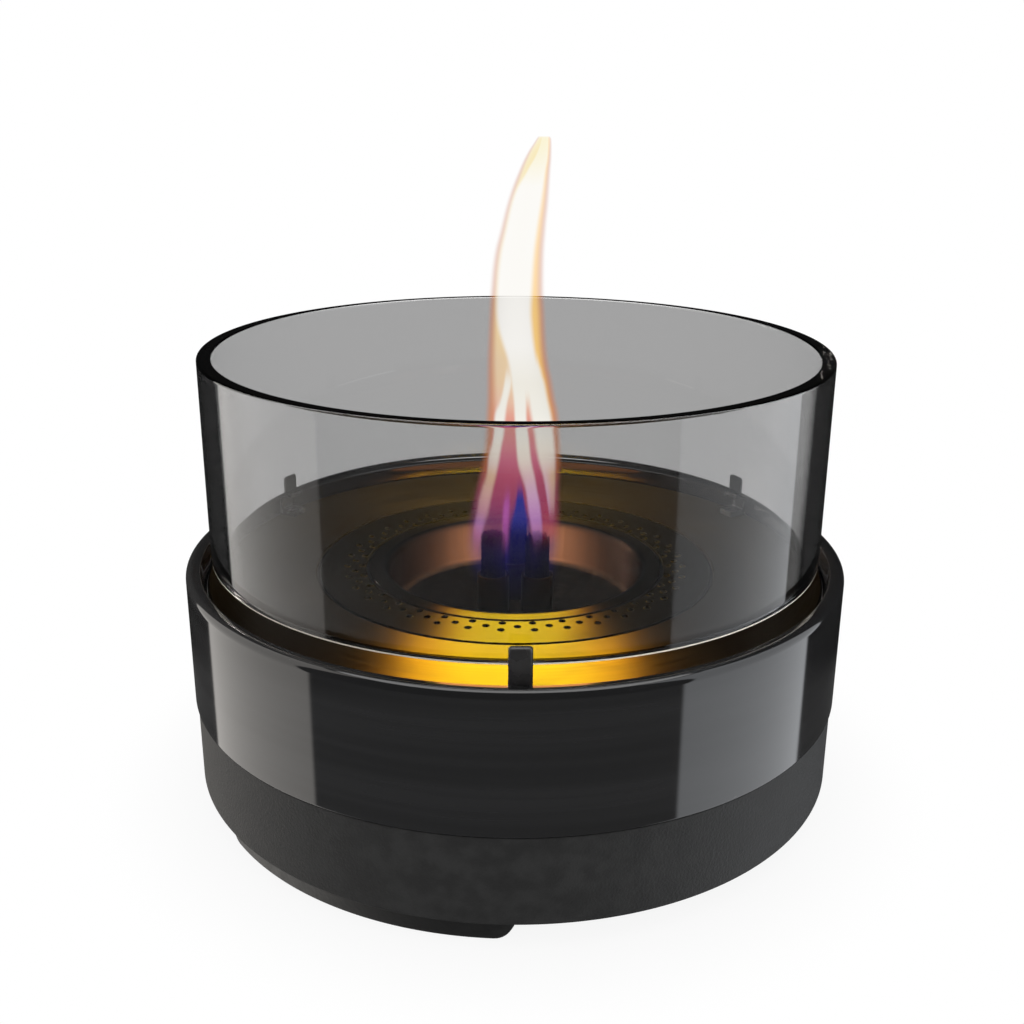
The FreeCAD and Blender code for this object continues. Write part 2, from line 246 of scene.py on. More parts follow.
def finish_tree(name):
    """New material, with its tree, its Principled BSDF and its output."""
    material, tree = bare_material(name)
    shader = add(tree, "ShaderNodeBsdfPrincipled")
    return material, tree, shader, show(tree, Surface=shader.outputs[0])


def relief(tree, height, depth, strength=1.0):
    return put(tree, "ShaderNodeBump", Height=height, Distance=depth, Strength=strength)


def round_axis(tree):
    """Tangent that runs round the axis, along the turning rings."""
    return add(tree, "ShaderNodeTangent", direction_type="RADIAL", axis="Z").outputs[0]


def either(tree, factor, first, second):
    """A mixed shader."""
    return put(tree, "ShaderNodeMixShader", in0=factor, in1=first, in2=second)


def emission(tree, colour, strength):
    return put(tree, "ShaderNodeEmission", Color=colour, Strength=strength)


def brighter(colour, gain):
    return tuple(part * gain for part in colour[:3]) + (1,)


def turned_metal(name, colour, bright, roughness, anisotropy=0.0, pitch=0.0006, edge_tint=1.0,
                 painted_shade_below=None):
    """Metal with fine turning rings. Where a height is given, every face under it is painted black as shade,
    in the air ring's holes and along cut edges, and the air ring, within the groove, is darker than the tray."""
    material, tree, shader, output = finish_tree(name)
    rings = effect(tree, TURNING_MARKS, Pitch=pitch)
    smears = effect(tree, HANDLING, Smear_Size=0.03)
    surface = mix(tree, rings["Mask"], colour, bright)
    rough = calc(tree, "MULTIPLY_ADD", smears["Mask"], 0.06,
                 calc(tree, "MULTIPLY_ADD", rings["Mask"], 0.08, roughness))
    if painted_shade_below:
        where, x, y, z = object_place(tree)
        within = ramp(tree, far_side(tree, x, y), (TRAY_BORE - 0.3) * MM, (TRAY_BORE - 0.9) * MM)
        surface = mix(tree, within, surface, grey(0.54), "MULTIPLY")
        # Painted shade: every face under the top, in the holes and along cut edges, is black and rough.
        top_face = ramp(tree, z, (painted_shade_below - 0.06) * MM, (painted_shade_below - 0.01) * MM)
        surface = mix(tree, top_face, grey(0.004), surface)
        rough = calc(tree, "MULTIPLY_ADD", calc(tree, "SUBTRACT", 1.0, top_face), 0.4, rough)
    feed(tree, shader, Base_Color=surface, Metallic=1.0, Roughness=rough, Anisotropic=anisotropy,
         Specular_Tint=grey(edge_tint), Normal=relief(tree, rings["Height"], 0.00003, 0.05))
    if anisotropy:
        feed(tree, shader, Tangent=round_axis(tree), Anisotropic_Rotation=0.25)
    return material


def spun_dish_finish(name):
    """Dark spun steel: the wall is copper-brown in streaks, and the floor is dark, matt and blotchy."""
    material, tree, shader, output = finish_tree(name)
    rings = effect(tree, TURNING_MARKS, Pitch=0.0005)
    where, x, y, z = object_place(tree)
    # The wall is copper-brown in streaks; the floor is dark, matt and blotchy.
    wall_streaks = noise(tree, stretched(tree, where, (700.0, 700.0, 25.0)))
    floor_blotches = noise(tree, where, 420.0, 5.0)
    above_floor = ramp(tree, z, (DISH_FLOOR_Z + 0.2) * MM, (DISH_FLOOR_Z + 1.4) * MM)
    below_flange = ramp(tree, z, (TRAY_Z - 0.05) * MM, (TRAY_Z - 1.0) * MM)
    flange = mix(tree, rings["Mask"], (0.0085, 0.0078, 0.0074, 1), (0.014, 0.013, 0.012, 1))
    wall = mix(tree, wall_streaks, (0.025, 0.0155, 0.011, 1), (0.048, 0.03, 0.022, 1))
    floor_tint = mix(tree, ramp(tree, floor_blotches, 0.35, 0.7), (0.008, 0.0065, 0.0055, 1), (0.028, 0.022, 0.018, 1))
    feed(tree, shader, Base_Color=mix(tree, below_flange, flange, wall), Metallic=1.0,
         Roughness=calc(tree, "MULTIPLY_ADD", below_flange, 0.12, 0.38), Anisotropic=0.9,
         Anisotropic_Rotation=0.25, Tangent=round_axis(tree),
         Specular_Tint=mix(tree, below_flange, grey(0.55), grey(0.38)),
         Normal=relief(tree, rings["Height"], 0.00003, 0.2))
    matt_floor = put(tree, "ShaderNodeBsdfPrincipled", Base_Color=floor_tint, Roughness=0.8, Specular_IOR_Level=0.0)
    feed(tree, output, Surface=either(tree, above_floor, matt_floor, shader.outputs[0]))
    return material


def gloss_lacquer(name, colour):
    """Deep black lacquer."""
    material, tree, shader, output = finish_tree(name)
    smears = effect(tree, HANDLING, Smear_Size=0.06, Scratch=0.3)
    rings = effect(tree, TURNING_MARKS, Pitch=0.004, Wander=0.4)
    feed(tree, shader, Base_Color=mix(tree, rings["Mask"], colour, brighter(colour, 1.5)),
         Roughness=calc(tree, "MULTIPLY_ADD", smears["Mask"], 0.03, 0.05),
         Normal=relief(tree, rings["Height"], 0.00002, 0.2))
    return material


def powder_coat(name, colour, roughness=0.6, grain=0.0006, depth=0.00012, gloss=0.5):
    """Matt coating with a fine sandy texture."""
    material, tree, shader, output = finish_tree(name)
    powder = effect(tree, POWDER, Grain=grain)
    feed(tree, shader, Base_Color=mix(tree, powder["Mask"], colour, brighter(colour, 1.35)),
         Roughness=calc(tree, "MULTIPLY_ADD", powder["Mask"], 0.08, roughness), Specular_IOR_Level=gloss,
         Normal=relief(tree, powder["Height"], depth))
    return material


def soft_rubber(name, colour):
    return powder_coat(name, colour, 0.8, 0.0012, 0.00004)


def charred_fibre(name):
    """Glass-fibre braid, pale where it is fresh and blue-black where it burns."""
    material, tree, shader, output = finish_tree(name)
    where, x, y, z = object_place(tree)
    threads = noise(tree, stretched(tree, where, (2500.0, 2500.0, 300.0)))
    char_line = calc(tree, "MULTIPLY_ADD", noise(tree, where, 400.0), 0.008, z)
    charred = ramp(tree, char_line, 0.058, 0.068)
    fresh = mix(tree, threads, (0.5, 0.46, 0.38, 1), (0.75, 0.72, 0.65, 1))
    burnt = mix(tree, threads, (0.0004, 0.0004, 0.002, 1), (0.003, 0.0035, 0.012, 1))
    feed(tree, shader, Base_Color=mix(tree, charred, fresh, burnt), Roughness=0.85,
         Specular_IOR_Level=0.0, Normal=relief(tree, threads, 0.0002))
    return material


def smoked_glass(name, density):
    """Grey glass: the near wall and the far wall each darken what lies behind them, the side edges are painted
    dark as shade, near black at grazing, the rims dim what passes through them, and the outer foot edge is
    matt."""
    material, tree, shader, output = finish_tree(name)
    path = add(tree, "ShaderNodeLightPath").outputs
    entering = calc(tree, "SUBTRACT", 1.0, add(tree, "ShaderNodeNewGeometry").outputs["Backfacing"])
    where, x, y, z = object_place(tree)
    radius = far_side(tree, x, y)
    bore = ramp(tree, radius, (GLASS_BORE + 0.6) * MM, (GLASS_BORE + 0.1) * MM)
    outside = ramp(tree, radius, (GLASS_OUTER - 0.6) * MM, (GLASS_OUTER - 0.1) * MM)
    first = calc(tree, "LESS_THAN", path["Transmission Depth"], 0.5)
    far_wall = mix(tree, first, grey(0.34), grey(0.155))
    near_wall = mix(tree, first, grey(1), grey(0.44))
    # Painted shade: the near wall darkens towards its sides and is near black at grazing edges.
    grazing = feed(tree, add(tree, "ShaderNodeLayerWeight"), Blend=0.5).outputs["Facing"]
    painted_side_shade = mix(tree, ramp(tree, grazing, 0.45, 0.62), near_wall, grey(0.24))
    near_wall = mix(tree, ramp(tree, grazing, 0.615, 0.7), painted_side_shade, grey(0.0012))
    low_rim = ramp(tree, z, (GLASS_FOOT_Z + 0.85) * MM, (GLASS_FOOT_Z + 0.7) * MM)
    high_rim = ramp(tree, z, (GLASS_TOP_Z - 0.85) * MM, (GLASS_TOP_Z - 0.7) * MM)
    leaving = mix(tree, calc(tree, "MAXIMUM", low_rim, high_rim), grey(1), grey(0.02))
    tint = mix(tree, entering, leaving, grey(1))
    tint = mix(tree, times(tree, bore, entering), tint, far_wall)
    tint = mix(tree, times(tree, outside, entering), tint, near_wall)
    sheen = mix(tree, bore, mix(tree, outside, grey(1), grey(0.42)), grey(0.5))
    feed(tree, shader, Base_Color=tint, Specular_Tint=sheen, IOR=1.47, Transmission_Weight=1.0, Roughness=0.0)
    ground = times(tree, low_rim, first, entering,
                   ramp(tree, radius, (GLASS_OUTER - 1.0) * MM, (GLASS_OUTER - 0.7) * MM))
    matt = put(tree, "ShaderNodeBsdfPrincipled", Base_Color=(0.42, 0.42, 0.415, 1), Roughness=0.5)
    lit_through = put(tree, "ShaderNodeBsdfTranslucent", Color=(0.5, 0.5, 0.49, 1))
    edged = either(tree, ground, shader.outputs[0], either(tree, 0.6, matt, lit_through))
    clear = put(tree, "ShaderNodeBsdfTransparent", Color=grey(0.6))
    feed(tree, output, Surface=either(tree, path["Is Shadow Ray"], edged, clear),
         Volume=put(tree, "ShaderNodeVolumeAbsorption", Color=grey(0), Density=density))
    return material


finishes = {
    "gloss_band": gloss_lacquer("gloss_black_lacquer", (0.011, 0.011, 0.0115, 1)),
    "matt_base": powder_coat("matt_black_powder", grey(0.026), gloss=0.2),
    "foot_plastic": powder_coat("moulded_black_plastic", grey(0.012), 0.5, 0.0009, 0.00005),
    "foot_rubber": soft_rubber("foot_rubber", grey(0.02)),
    "liner_steel": turned_metal("liner_sheet_steel", (0.3, 0.3, 0.31, 1), (0.42, 0.42, 0.43, 1), 0.42),
    "tray_metal": turned_metal("dark_turned_tray", (0.0176, 0.017, 0.0163, 1), (0.0234, 0.0221, 0.0215, 1),
                               0.36, 0.75, 0.0004, 0.55, TRAY_Z),
    "dish_metal": spun_dish_finish("dark_spun_dish"),
    "bracket_black": powder_coat("satin_black_bracket", (0.025, 0.024, 0.024, 1), 0.24, 0.0004, 0.000002),
    "pad_silicone": soft_rubber("clear_grey_pad", grey(0.05)),
    "fixing_steel": turned_metal("zinc_fixings", (0.35, 0.35, 0.36, 1), grey(0.5), 0.35),
    "tank_steel": turned_metal("drawn_stainless_tank", grey(0.4), grey(0.55), 0.3),
    "gasket_rubber": soft_rubber("neck_gasket_rubber", grey(0.03)),
    "tube_steel": turned_metal("heat_browned_tube", (0.03, 0.015, 0.007, 1), (0.05, 0.027, 0.013, 1), 0.4,
                               pitch=0.0004, edge_tint=0.5),
    "wick_fibre": charred_fibre("charred_glass_fibre"),
    "glass": smoked_glass("smoked_glass", 15.0),
}
for node in frame["record"]["subparts"]:
    finish = finishes[node["material_slot"]]
    cad = frame["nodes"][node["node"]]
    for holder in cad.material_slots:
        holder.material = finish


def rounded_outline(corners, steps=6, held=True):
    """Points round an outline of (radius, z) corners; a third number rounds that corner."""
    points = []
    count = len(corners)
    for i, corner in enumerate(corners):
        here = Vector(corner[:2])
        if len(corner) < 3:
            points.append(here)
            continue
        back = (Vector(corners[i - 1][:2]) - here).normalized()
        ahead = (Vector(corners[(i + 1) % count][:2]) - here).normalized()
        half_angle = back.angle(ahead) / 2
        run = corner[2] / math.tan(half_angle)
        centre = here + (back + ahead).normalized() * (corner[2] / math.sin(half_angle))
        start = here + back * run - centre
        turn = (here + ahead * run - centre).angle_signed(start) * -1
        for step in range(steps + 1):
            points.append(centre + Matrix.Rotation(-turn * step / steps, 2) @ start)
    return held_edges(points) if held else points


def held_edges(points, margin=0.12):
    """Adds a point near both ends of each long run, so that flat faces shade flat up to their roundings."""
    held = []
    for i, here in enumerate(points):
        after = points[(i + 1) % len(points)]
        held.append(here)
        if (after - here).length > 4 * margin:
            step = (after - here).normalized() * margin
            held += [here + step, after - step]
    return held


def geometry_tree(name, **inputs):
    """Geometry tree whose inputs are listed by kind, with a finish; returns the tree, its input
    sockets and its output node."""
    tree = bpy.data.node_groups.new(name, "GeometryNodeTree")
    tree.interface.new_socket("Geometry", in_out="INPUT", socket_type="NodeSocketGeometry")
    for kind, labels in {**inputs, "Material": "Finish"}.items():
        for label in labels.split(", "):
            tree.interface.new_socket(label, in_out="INPUT", socket_type="NodeSocket" + kind)
    tree.interface.new_socket("Geometry", in_out="OUTPUT", socket_type="NodeSocketGeometry")
    return tree, add(tree, "NodeGroupInput").outputs, add(tree, "NodeGroupOutput")


def close_tree(tree, result, geometry, material):
    """Ends a tree: real geometry, with its finish."""
    real = put(tree, "GeometryNodeRealizeInstances", Geometry=geometry)
    feed(tree, result, Geometry=put(tree, "GeometryNodeSetMaterial", Geometry=real, Material=material))


def joined(tree, *geometries):
    """The node that joins geometries."""
    node = add(tree, "GeometryNodeJoinGeometry")
    for geometry in geometries:
        tree.links.new(geometry, node.inputs[0])
    return node


def moved(tree, geometry, **change):
    return put(tree, "GeometryNodeTransform", Geometry=geometry, **change)


def circle(tree, resolution, radius):
    return put(tree, "GeometryNodeCurvePrimitiveCircle", Resolution=resolution, Radius=radius)


def merged(tree, geometry):
    return put(tree, "GeometryNodeMergeByDistance", Geometry=geometry, Distance=0.000001)


def upright_curve(tree, curve):
    """A curve whose sections stand upright along it."""
    node = add(tree, "GeometryNodeSetCurveNormal", mode="Z_UP")
    return feed(tree, node, Curve=curve).outputs[0]


def turning_tree():
    """Turns an outline about the axis."""
    tree, given, result = geometry_tree("turned_profile", Int="Segments")
    spot = split(tree, put(tree, "GeometryNodeInputPosition"))
    flat = xyz(tree, X=calc(tree, "SUBTRACT", spot["X"], 1.0), Y=times(tree, spot["Z"], -1.0))
    laid = put(tree, "GeometryNodeSetPosition", Geometry=given["Geometry"], Position=flat)
    profile = put(tree, "GeometryNodeMeshToCurve", Mesh=laid)
    path = upright_curve(tree, circle(tree, given["Segments"], 1.0))
    swept = put(tree, "GeometryNodeCurveToMesh", Curve=path, Profile_Curve=profile)
    close_tree(tree, result, merged(tree, swept), given["Finish"])
    return tree


def settled(piece, crease=35.0):
    """Replaces a piece's modifiers by their result, with outward faces and smooth shading."""
    graph = bpy.context.evaluated_depsgraph_get()
    mesh = bpy.data.meshes.new_from_object(piece.evaluated_get(graph))
    piece.modifiers.clear()
    piece.data = mesh
    mesh.name = piece.name
    work = bmesh.new()
    work.from_mesh(mesh)
    bmesh.ops.recalc_face_normals(work, faces=work.faces)
    work.to_mesh(mesh)
    work.free()
    mesh.polygons.foreach_set("use_smooth", [True] * len(mesh.polygons))
    mesh.set_sharp_from_angle(angle=math.radians(crease))
    return piece


def stand(name, data):
    """A new object in the scene."""
    thing = bpy.data.objects.new(name, data)
    bpy.context.scene.collection.objects.link(thing)
    return thing


def new_piece(name, points, edges=(), faces=()):
    mesh = bpy.data.meshes.new(name)
    mesh.from_pydata(points, edges, faces)
    return stand(name, mesh)


def run_tree(piece, tree, **values):
    """Gives a piece a geometry tree, with its inputs set by their identifiers."""
    modifier = piece.modifiers.new("make", "NODES")
    modifier.node_group = tree
    for item in tree.interface.items_tree:
        name = item.name.replace(" ", "_")
        if item.in_out == "INPUT" and name in values:
            modifier[item.identifier] = values[name]
    return piece


TURNING = turning_tree()


def turned_piece(name, corners, slot, body, node, segments=288, steps=6, centre=(0, 0)):
    """A piece turned from an outline, in place of its CAD node."""
    points = [(p.x * MM, 0, p.y * MM) for p in rounded_outline(corners, steps)]
    edges = [(i, (i + 1) % len(points)) for i in range(len(points))]
    piece = new_piece(name, points, edges)
    settled(run_tree(piece, TURNING, Segments=segments, Finish=finishes[slot]))
    piece.data.transform(Matrix.Translation((centre[0], centre[1], 0)))
    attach(piece, body)
    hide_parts(node)
    return piece


def band():
    """Gloss band with its rolled and slightly crowned lip."""
    under = RIM_Z - SHEET
    turned_piece("gloss_band_shell", [
        (BAND_RADIUS, SEAM_Z, 0.35), (BAND_RADIUS, RIM_Z + 0.1, 2.2), (107.6, RIM_Z + 0.15, 6.0),
        (105.2, RIM_Z - 0.2, 0.7), (104.2, 72.8), (96.6, 72.8), (96.6, 71.6), (105.4, 71.6),
        (106.4, under, 0.3), (108.8, under, 1.3), (108.8, SEAM_Z)],
        "gloss_band", "housing", "band_shell", steps=8)


def base():
    """Matt base with a softened lower edge."""
    top = SEAM_Z - 0.55
    turned_piece("matt_base_shell", [
        (0.0, BASE_FLOOR_Z), (106.5, BASE_FLOOR_Z), (106.5, BASE_Z, 0.3), (BASE_RADIUS, BASE_Z, 0.8),
        (BASE_RADIUS, top, 0.3), (108.6, top), (108.6, 42.5, 0.5), (106.6, 42.5, 0.5), (106.6, 11.0, 1.5),
        (0.0, 11.0)], "matt_base", "housing", "base_shell")


def tray():
    """Turned tray with the step that carries the air ring."""
    turned_piece("turned_tray", [
        (TRAY_BORE, TRAY_Z, 0.3), (103.4, TRAY_Z, 0.8), (103.4, TRAY_UNDER_Z), (69.0, TRAY_UNDER_Z),
        (69.0, 72.8), (64.5, 72.8), (64.5, TRAY_UNDER_Z), (TRAY_BORE, TRAY_UNDER_Z)],
        "tray_metal", "housing", "tray_plate")


def dish():
    """Sunk dish: flange, rounded throat with its steep wall, and flat floor."""
    flange, floor = 45.5, 39.5
    for name, steps, corners in (
            ("dish_flange", 6, [(49.9, TRAY_Z, 0.25), (flange, TRAY_Z), (flange, TRAY_UNDER_Z),
                                (49.9, TRAY_UNDER_Z)]),
            ("dish_wall", 10, [
                (flange, TRAY_Z), (42.8, TRAY_Z, 2.6), (42.2, DISH_FLOOR_Z, 2.4), (floor, DISH_FLOOR_Z),
                (floor, DISH_UNDER_Z), (43.4, DISH_UNDER_Z, 3.6), (44.0, TRAY_UNDER_Z, 1.4),
                (flange, TRAY_UNDER_Z)]),
            ("dish_floor", 4, [(floor, DISH_FLOOR_Z), (0.0, DISH_FLOOR_Z), (0.0, DISH_UNDER_Z),
                               (floor, DISH_UNDER_Z)])):
        turned_piece(name, corners, "dish_metal", "cap", "wick_dish", 192, steps)


def wick_tubes():
    for side, (azimuth, top) in WICKS.items():
        spot = place(WICK_PLACE, 0, azimuth)
        turned_piece("browned_tube_" + side, [
            (4.5, TUBE_FOOT_Z), (5.5, TUBE_FOOT_Z), (5.5, TUBE_TOP_Z, 0.3), (4.5, TUBE_TOP_Z, 0.3)],
            "tube_steel", "cap", "wick_tube_" + side, 64, 4, (spot.x, spot.y))


def glass():
    turned_piece("glass_ring", [
        (GLASS_BORE, GLASS_FOOT_Z, 0.3), (GLASS_OUTER, GLASS_FOOT_Z, 0.8), (GLASS_OUTER, GLASS_TOP_Z, 0.8),
        (GLASS_BORE, GLASS_TOP_Z, 0.8)], "glass", "glass", "glass_cylinder")


def finished_mesh(name, points, faces, slot, body, nodes, crease=35.0):
    """A piece from points in millimetres and its faces, in place of its CAD node."""
    piece = new_piece(name, [p * MM for p in points], (), faces)
    piece.data.materials.append(finishes[slot])
    settled(piece, crease)
    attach(piece, body)
    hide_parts(nodes)
    return piece


def closed_sweep(sections):
    """Faces that join rings of equal length one after another, with both ends closed."""
    size = len(sections[0])
    points = [p for section in sections for p in section]
    faces = [tuple(reversed(range(size))), tuple(range(len(points) - size, len(points)))]
    for ring in range(len(sections) - 1):
        for i in range(size):
            a, b = ring * size + i, ring * size + (i + 1) % size
            faces.append((a, b, b + size, a + size))
    return points, faces


def brackets():
    """Glass brackets: foot, upright with a rolled top and soft corners, and the shelf under the glass."""
    half, corner, top, face, low = 3.3, 1.1, 90.2, 101.8, TRAY_Z + 2.0
    outline = rounded_outline([
        (95.4, TRAY_Z), (103.6, TRAY_Z), (103.6, top, 1.55), (face, top, 0.2), (face, SHELF_Z),
        (97.2, SHELF_Z, 0.3), (97.2, SHELF_Z - SHEET, 0.3), (face, SHELF_Z - SHEET, 0.6), (face, low, 0.6),
        (95.4, low, 0.5)], 8)
    for side, azimuth in (("front", 0), ("right", 120), ("left", 240)):
        out = place(1.0, 0, azimuth) / MM
        along = Vector((-out.y, out.x, 0))
        sections = []
        for step in range(-12, 13):
            across = half * math.sin(step / 12 * math.pi / 2)
            near = max(0.0, corner - (half - abs(across)))
            inset = corner - math.sqrt(corner * corner - near * near)
            section = []
            for point in outline:
                share = max(0.0, (point.x - face) / 1.8)
                high = max(0.0, (point.y - top + 2.0) / 2.0)
                section.append(out * (point.x - inset * share) + along * across
                               + Vector((0, 0, point.y - inset * high)))
            sections.append(section)
        finished_mesh("rolled_bracket_" + side, *closed_sweep(sections), "bracket_black", "housing",
                      "glass_bracket_" + side)


# How the end of a foot rises: millimetres along the rim from the end's line, and height.
FOOT_END = [(0.3, 7.6), (0.5, 6.9), (0.75, 6.1), (1.05, 5.3), (1.45, 4.5), (1.9, 3.7), (2.4, 2.95), (3.0, 2.15),
            (3.75, 1.45), (4.5, 0.95), (5.3, 0.6), (6.2, 0.38), (7.1, FOOT_LOW_Z)]


def foot_ring():
    """Ring under the base with three curved feet, whose ends rise in a soft S to the ring."""
    every, faces = [], []

    def join(points, more):
        faces.extend(tuple(i + len(every) for i in face) for face in more)
        every.extend(points)

    plate = rounded_outline([
        (58.0, BASE_Z, 0.4), (106.2, BASE_Z, 0.4), (106.2, BASE_FLOOR_Z), (58.0, BASE_FLOOR_Z)], 4)
    turns, size = 192, len(plate)
    join([place(p.x, p.y, 360 * turn / turns) / MM for turn in range(turns) for p in plate],
         [(t * size + i, t * size + (i + 1) % size, (t + 1) % turns * size + (i + 1) % size,
           (t + 1) % turns * size + i) for t in range(turns) for i in range(size)])
    ends = [(math.degrees(u / FOOT_RADIUS), z) for u, z in FOOT_END]
    stations = ends + [(4.0 + i, FOOT_LOW_Z) for i in range(53)] + [(60 - u, z) for u, z in reversed(ends)]
    root = BASE_Z + 0.2
    for last in (0, 120, 240):
        sections = []
        for u, low in stations:
            edge = min(0.8, (root - low) * 0.45)
            section = rounded_outline([(92.0, root), (92.0, low, edge), (FOOT_RADIUS, low, edge),
                                       (FOOT_RADIUS, root)], 5, held=False)
            sections.append([place(p.x, p.y, last - u) / MM for p in section])
        join(*closed_sweep(sections))
    finished_mesh("curved_foot_ring", every, faces, "foot_plastic", "housing", "foot_ring", 40.0)


def perforation_tree():
    """Flat ring with three staggered rows of round holes."""
    tree, given, result = geometry_tree(
        "perforated_ring", Int="Holes",
        Float="Inner Radius, Outer Radius, Top, Thickness, Hole Radius, First Row, Row Step")
    hole = circle(tree, 20, given["Hole Radius"])
    curves = [circle(tree, 288, given[rim]) for rim in ("Inner Radius", "Outer Radius")]
    for row in range(3):
        radius = calc(tree, "MULTIPLY_ADD", given["Row Step"], float(row), given["First Row"])
        ring = put(tree, "GeometryNodeMeshCircle", Vertices=given["Holes"], Radius=radius)
        turn = calc(tree, "DIVIDE", math.tau * 0.5 * ((row + 1) % 2), given["Holes"])
        placed = moved(tree, ring, Rotation=xyz(tree, Z=turn))
        curves.append(put(tree, "GeometryNodeInstanceOnPoints", Points=placed, Instance=hole))
    real = put(tree, "GeometryNodeRealizeInstances", Geometry=joined(tree, *curves).outputs[0])
    sheet = put(tree, "GeometryNodeFillCurve", Curve=real)
    depth = xyz(tree, Z=times(tree, given["Thickness"], -1.0))
    pushed = put(tree, "GeometryNodeExtrudeMesh", Mesh=sheet, Offset=depth, Offset_Scale=1.0, Individual=False)
    solid = merged(tree, joined(tree, pushed, sheet).outputs[0])
    raised = moved(tree, solid, Translation=xyz(tree, Z=given["Top"]))
    close_tree(tree, result, raised, given["Finish"])
    return tree


def air_ring():
    piece = run_tree(new_piece("perforated_air_ring", [(0, 0, 0)]), perforation_tree(), Inner_Radius=51.1 * MM,
                     Outer_Radius=66.6 * MM, Top=TRAY_Z * MM, Thickness=SHEET * MM, Hole_Radius=1.15 * MM,
                     First_Row=52.5 * MM, Row_Step=2.5 * MM, Holes=36, Finish=finishes["tray_metal"])
    bevel = piece.modifiers.new("edge", "BEVEL")
    bevel.width = 0.05 * MM
    bevel.segments = 1
    bevel.limit_method = "ANGLE"
    bevel.angle_limit = math.radians(50)
    settled(piece, 20.0)
    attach(piece, "burner")
    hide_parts("air_ring")


def braid_tree():
    """Round braid: strands wind both ways over a core and pass over and under each other."""
    tree, given, result = geometry_tree(
        "braided_wick", Float="Radius, Foot, Length, Turns, Strand Width, Strand Height")
    strands_each_way = 8
    every = []
    around = calc(tree, "SUBTRACT", given["Radius"], given["Strand Height"])
    for way in (1.0, -1.0):
        helix = put(tree, "GeometryNodeCurveSpiral", Resolution=40, Rotations=given["Turns"],
                    Start_Radius=around, End_Radius=around, Height=given["Length"], Reverse=way < 0)
        spot = put(tree, "GeometryNodeInputPosition")
        height = split(tree, spot)["Z"]
        turned = times(tree, calc(tree, "DIVIDE", height, given["Length"]),
                       times(tree, given["Turns"], math.tau))
        wave = calc(tree, "COSINE", times(tree, turned, float(strands_each_way)))
        lift = times(tree, wave, way * 0.5, given["Strand Height"])
        grown = calc(tree, "ADD", calc(tree, "DIVIDE", lift, around), 1.0)
        scaled = add(tree, "ShaderNodeVectorMath", operation="MULTIPLY")
        feed(tree, scaled, in0=spot, in1=xyz(tree, X=grown, Y=grown, Z=1.0))
        woven = put(tree, "GeometryNodeSetPosition", Geometry=helix, Position=scaled.outputs[0])
        size = xyz(tree, X=given["Strand Height"], Y=given["Strand Width"], Z=1.0)
        strand = put(tree, "GeometryNodeCurveToMesh", Curve=upright_curve(tree, woven),
                     Profile_Curve=moved(tree, circle(tree, 6, 0.5), Scale=size), Fill_Caps=True)
        for number in range(strands_each_way):
            every.append(moved(tree, strand, Rotation=(0.0, 0.0, math.tau * number / strands_each_way)))
    core = put(tree, "GeometryNodeMeshCylinder", Vertices=24, Depth=given["Length"],
               Radius=calc(tree, "SUBTRACT", around, given["Strand Height"]))
    every.append(moved(tree, core, Translation=xyz(tree, Z=times(tree, given["Length"], 0.5))))
    stood = moved(tree, joined(tree, *every).outputs[0], Translation=xyz(tree, Z=given["Foot"]))
    close_tree(tree, result, stood, given["Finish"])
    return tree


def frayed_ends(top, seed, loose):
    """Broken fibre ends that stand out of a wick's burnt top."""
    chance = random.Random(seed)
    points, faces = [], []
    fibres, spread, golden_angle = 90, 3.7, 2.39996
    for number in range(fibres):
        reach = spread * math.sqrt((number + 0.5) / fibres)
        angle = number * golden_angle + chance.uniform(-0.3, 0.3)
        lean = Vector((math.cos(angle), math.sin(angle), 0)) * reach * loose * chance.uniform(0.0, 0.12)
        length = chance.uniform(0.5, 1.0) * (1.2 + 1.6 * loose) * (1.15 - reach / 6)
        thick = chance.uniform(0.16, 0.3)
        root = Vector((reach * math.cos(angle), reach * math.sin(angle), top - 2.4))
        sections = []
        for share in (0.0, 0.5, 1.0):
            centre = root + Vector((0, 0, 1.2 + length)) * share + lean * share * share * 3
            turns = [side * math.pi / 2 + share for side in range(4)]
            sections.append([(centre + Vector((math.cos(turn), math.sin(turn), 0)) * thick
                              * (1 - 0.75 * share)) * MM for turn in turns])
        fibre, sides = closed_sweep(sections)
        faces += [tuple(i + len(points) for i in side) for side in sides]
        points += fibre
    return points, faces


def wicks():
    braid = braid_tree()
    for seed, (side, (azimuth, top)) in enumerate(WICKS.items()):
        piece = run_tree(new_piece("braided_wick_" + side, [(0, 0, 0)]), braid, Radius=WICK_RADIUS * MM,
                         Foot=WICK_FOOT_Z * MM, Length=(top - 1.6 - WICK_FOOT_Z) * MM, Turns=3.4,
                         Strand_Width=2.3 * MM, Strand_Height=0.7 * MM, Finish=finishes["wick_fibre"])
        settled(piece)
        points, faces = frayed_ends(top, seed, 1.0 if side == "right" else 0.35)
        ends = new_piece("ends", points, (), faces)
        work = bmesh.new()
        work.from_mesh(piece.data)
        work.from_mesh(ends.data)
        bmesh.ops.recalc_face_normals(work, faces=work.faces)
        work.to_mesh(piece.data)
        work.free()
        bpy.data.objects.remove(ends)
        for face in piece.data.polygons:
            face.use_smooth = True
            face.material_index = len(piece.data.materials) - 1
        piece.data.transform(Matrix.Translation(place(WICK_PLACE, 0, azimuth)))
        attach(piece, "wick_%s_body" % side)
        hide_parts("wick_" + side)


for make in (band, base, tray, dish, air_ring, wick_tubes, wicks, glass, brackets, foot_ring):
    make()


